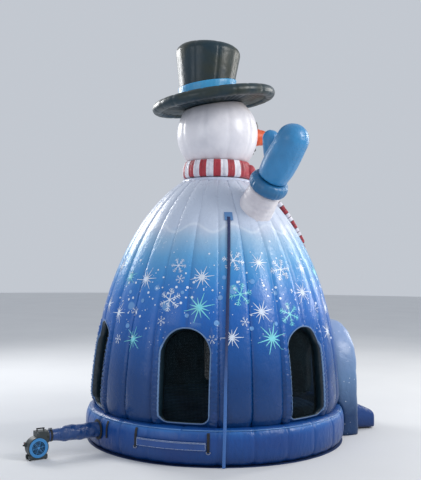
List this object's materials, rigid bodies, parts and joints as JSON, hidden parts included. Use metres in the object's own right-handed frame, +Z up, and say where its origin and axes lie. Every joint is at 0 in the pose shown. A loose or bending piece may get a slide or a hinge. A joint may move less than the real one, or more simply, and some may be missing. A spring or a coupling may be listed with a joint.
{
  "type": "inflatable snowman bounce dome",
  "caption": "Inflatable walk-in dome with net windows, an entrance arch and step, a snowman's head, hat, scarf and mittens on top, and a blower that feeds it through a fabric tube.",
  "frame": {"origin": "middle of the dome's base on the ground", "axes": "+Z up, the entrance and the snowman's face look along -Y, and +X is the snowman's left"},
  "size_m": [4.6199, 6.4968, 7.0417],
  "materials": {
    "ground_cloth": "matte",
    "ring_vinyl": "gloss",
    "floor_vinyl": "satin",
    "printed_wall": "satin",
    "white_vinyl": "satin",
    "arm_vinyl": "satin",
    "net": "matte",
    "trim": "satin",
    "printed_arch": "satin",
    "step_vinyl": "satin",
    "carrot": "satin",
    "coal": "satin",
    "scarf_cloth": "satin",
    "fringe_cloth": "matte",
    "mitten_vinyl": "satin",
    "cuff_vinyl": "satin",
    "hat_vinyl": "satin",
    "hat_band_cloth": "satin",
    "tube_cloth": "satin",
    "webbing": "matte",
    "buckle_metal": "satin",
    "lever_plastic": "satin",
    "blower_plastic": "satin",
    "grille_plastic": "satin",
    "impeller_plastic": "satin",
    "motor_metal": "satin",
    "black_rubber": "matte",
    "rocker_plastic": "gloss",
    "zip_metal": "satin",
    "flap_vinyl": "gloss",
    "patch_vinyl": "satin",
    "tether_webbing": "satin"
  },
  "bodies": {
    "structure": {"ground_sheet": "ground_cloth", "base_ring": "ring_vinyl", "bounce_floor": "floor_vinyl", "dome_front": "printed_wall", "dome_back": "printed_wall", "dome_right_rear": "printed_wall", "dome_right_front": "printed_wall", "dome_left_rear": "printed_wall", "dome_left_front": "printed_wall", "dome_cap": "white_vinyl", "net_back": "net", "net_right_rear": "net", "net_right_front": "net", "net_left_rear": "net", "net_left_front": "net", "window_trims": "trim", "porch_arch": "printed_arch", "entrance_step": "step_vinyl", "head": "white_vinyl", "nose": "carrot", "eyes": "coal", "mouth_coals": "coal", "scarf_band": "scarf_cloth", "scarf_knot": "scarf_cloth", "scarf_tail_right": "scarf_cloth", "scarf_tail_left": "scarf_cloth", "scarf_fringe": "fringe_cloth", "arm_right": "arm_vinyl", "arm_left": "arm_vinyl", "cuff_right": "cuff_vinyl", "cuff_left": "cuff_vinyl", "mitten_right": "mitten_vinyl", "mitten_left": "mitten_vinyl", "hat_brim": "hat_vinyl", "hat_crown": "hat_vinyl", "hat_band": "hat_band_cloth", "tube_collar": "webbing", "inflation_tube": "tube_cloth", "tube_strap": "webbing", "strap_buckle": "buckle_metal", "housing_intake_side": "blower_plastic", "housing_motor_side": "blower_plastic", "intake_grille": "grille_plastic", "blower_motor": "motor_metal", "blower_handle": "black_rubber", "blower_feet": "black_rubber", "housing_screws": "buckle_metal", "cable_gland": "black_rubber", "zip_tape": "webbing", "anchor_tabs": "webbing", "tether_patch": "patch_vinyl", "tether_strap": "tether_webbing"},
    "impeller": {"impeller": "impeller_plastic"},
    "rocker": {"switch_rocker": "rocker_plastic"},
    "slider": {"zip_slider": "zip_metal"},
    "pull": {"zip_pull": "zip_metal"},
    "flap": {"zip_flap": "flap_vinyl"},
    "lever": {"buckle_lever": "lever_plastic"},
    "ring_rear": {"anchor_ring_rear": "buckle_metal"},
    "ring_side": {"anchor_ring_side": "buckle_metal"}
  },
  "joints": [
    {"name": "impeller_spin", "type": "hinge", "parent": "structure", "child": "impeller", "pos_m": [-0.81044, 3.25049, 0.185], "axis": [-0.9703, -0.2419, 0], "continuous": true},
    {"name": "switch_rock", "type": "hinge", "parent": "structure", "child": "rocker", "pos_m": [-0.81493, 3.43385, 0.253], "axis": [-0.9703, -0.2419, 0], "range_deg": [0, 24]},
    {"name": "zip_slide", "type": "hinge", "parent": "structure", "child": "slider", "pos_m": [0, 0, 0.315], "axis": [0, 0, 1], "range_deg": [0, 26]},
    {"name": "zip_pull_swing", "type": "hinge", "parent": "slider", "child": "pull", "pos_m": [-1.49163, 1.78397, 0.315], "axis": [-0.6414, 0.7672, 0], "range_deg": [-85, 85]},
    {"name": "flap_lift", "type": "hinge", "parent": "structure", "child": "flap", "pos_m": [-1.80453, 1.36971, 0.392], "axis": [0.6046, 0.7965, 0], "range_deg": [0, 55]},
    {"name": "buckle_lever_turn", "type": "hinge", "parent": "structure", "child": "lever", "pos_m": [-0.7446, 3.04429, 0.45], "axis": [-0.2419, 0.9703, 0], "range_deg": [0, 110]},
    {"name": "anchor_ring_rear_swing", "type": "hinge", "parent": "structure", "child": "ring_rear", "pos_m": [-1.429, 1.83233, 0.242], "axis": [0.7885, 0.615, 0], "range_deg": [0, 120]},
    {"name": "anchor_ring_side_swing", "type": "hinge", "parent": "structure", "child": "ring_side", "pos_m": [-2.14912, 0.88361, 0.242], "axis": [0.3803, 0.9249, 0], "range_deg": [0, 120]}
  ]
}
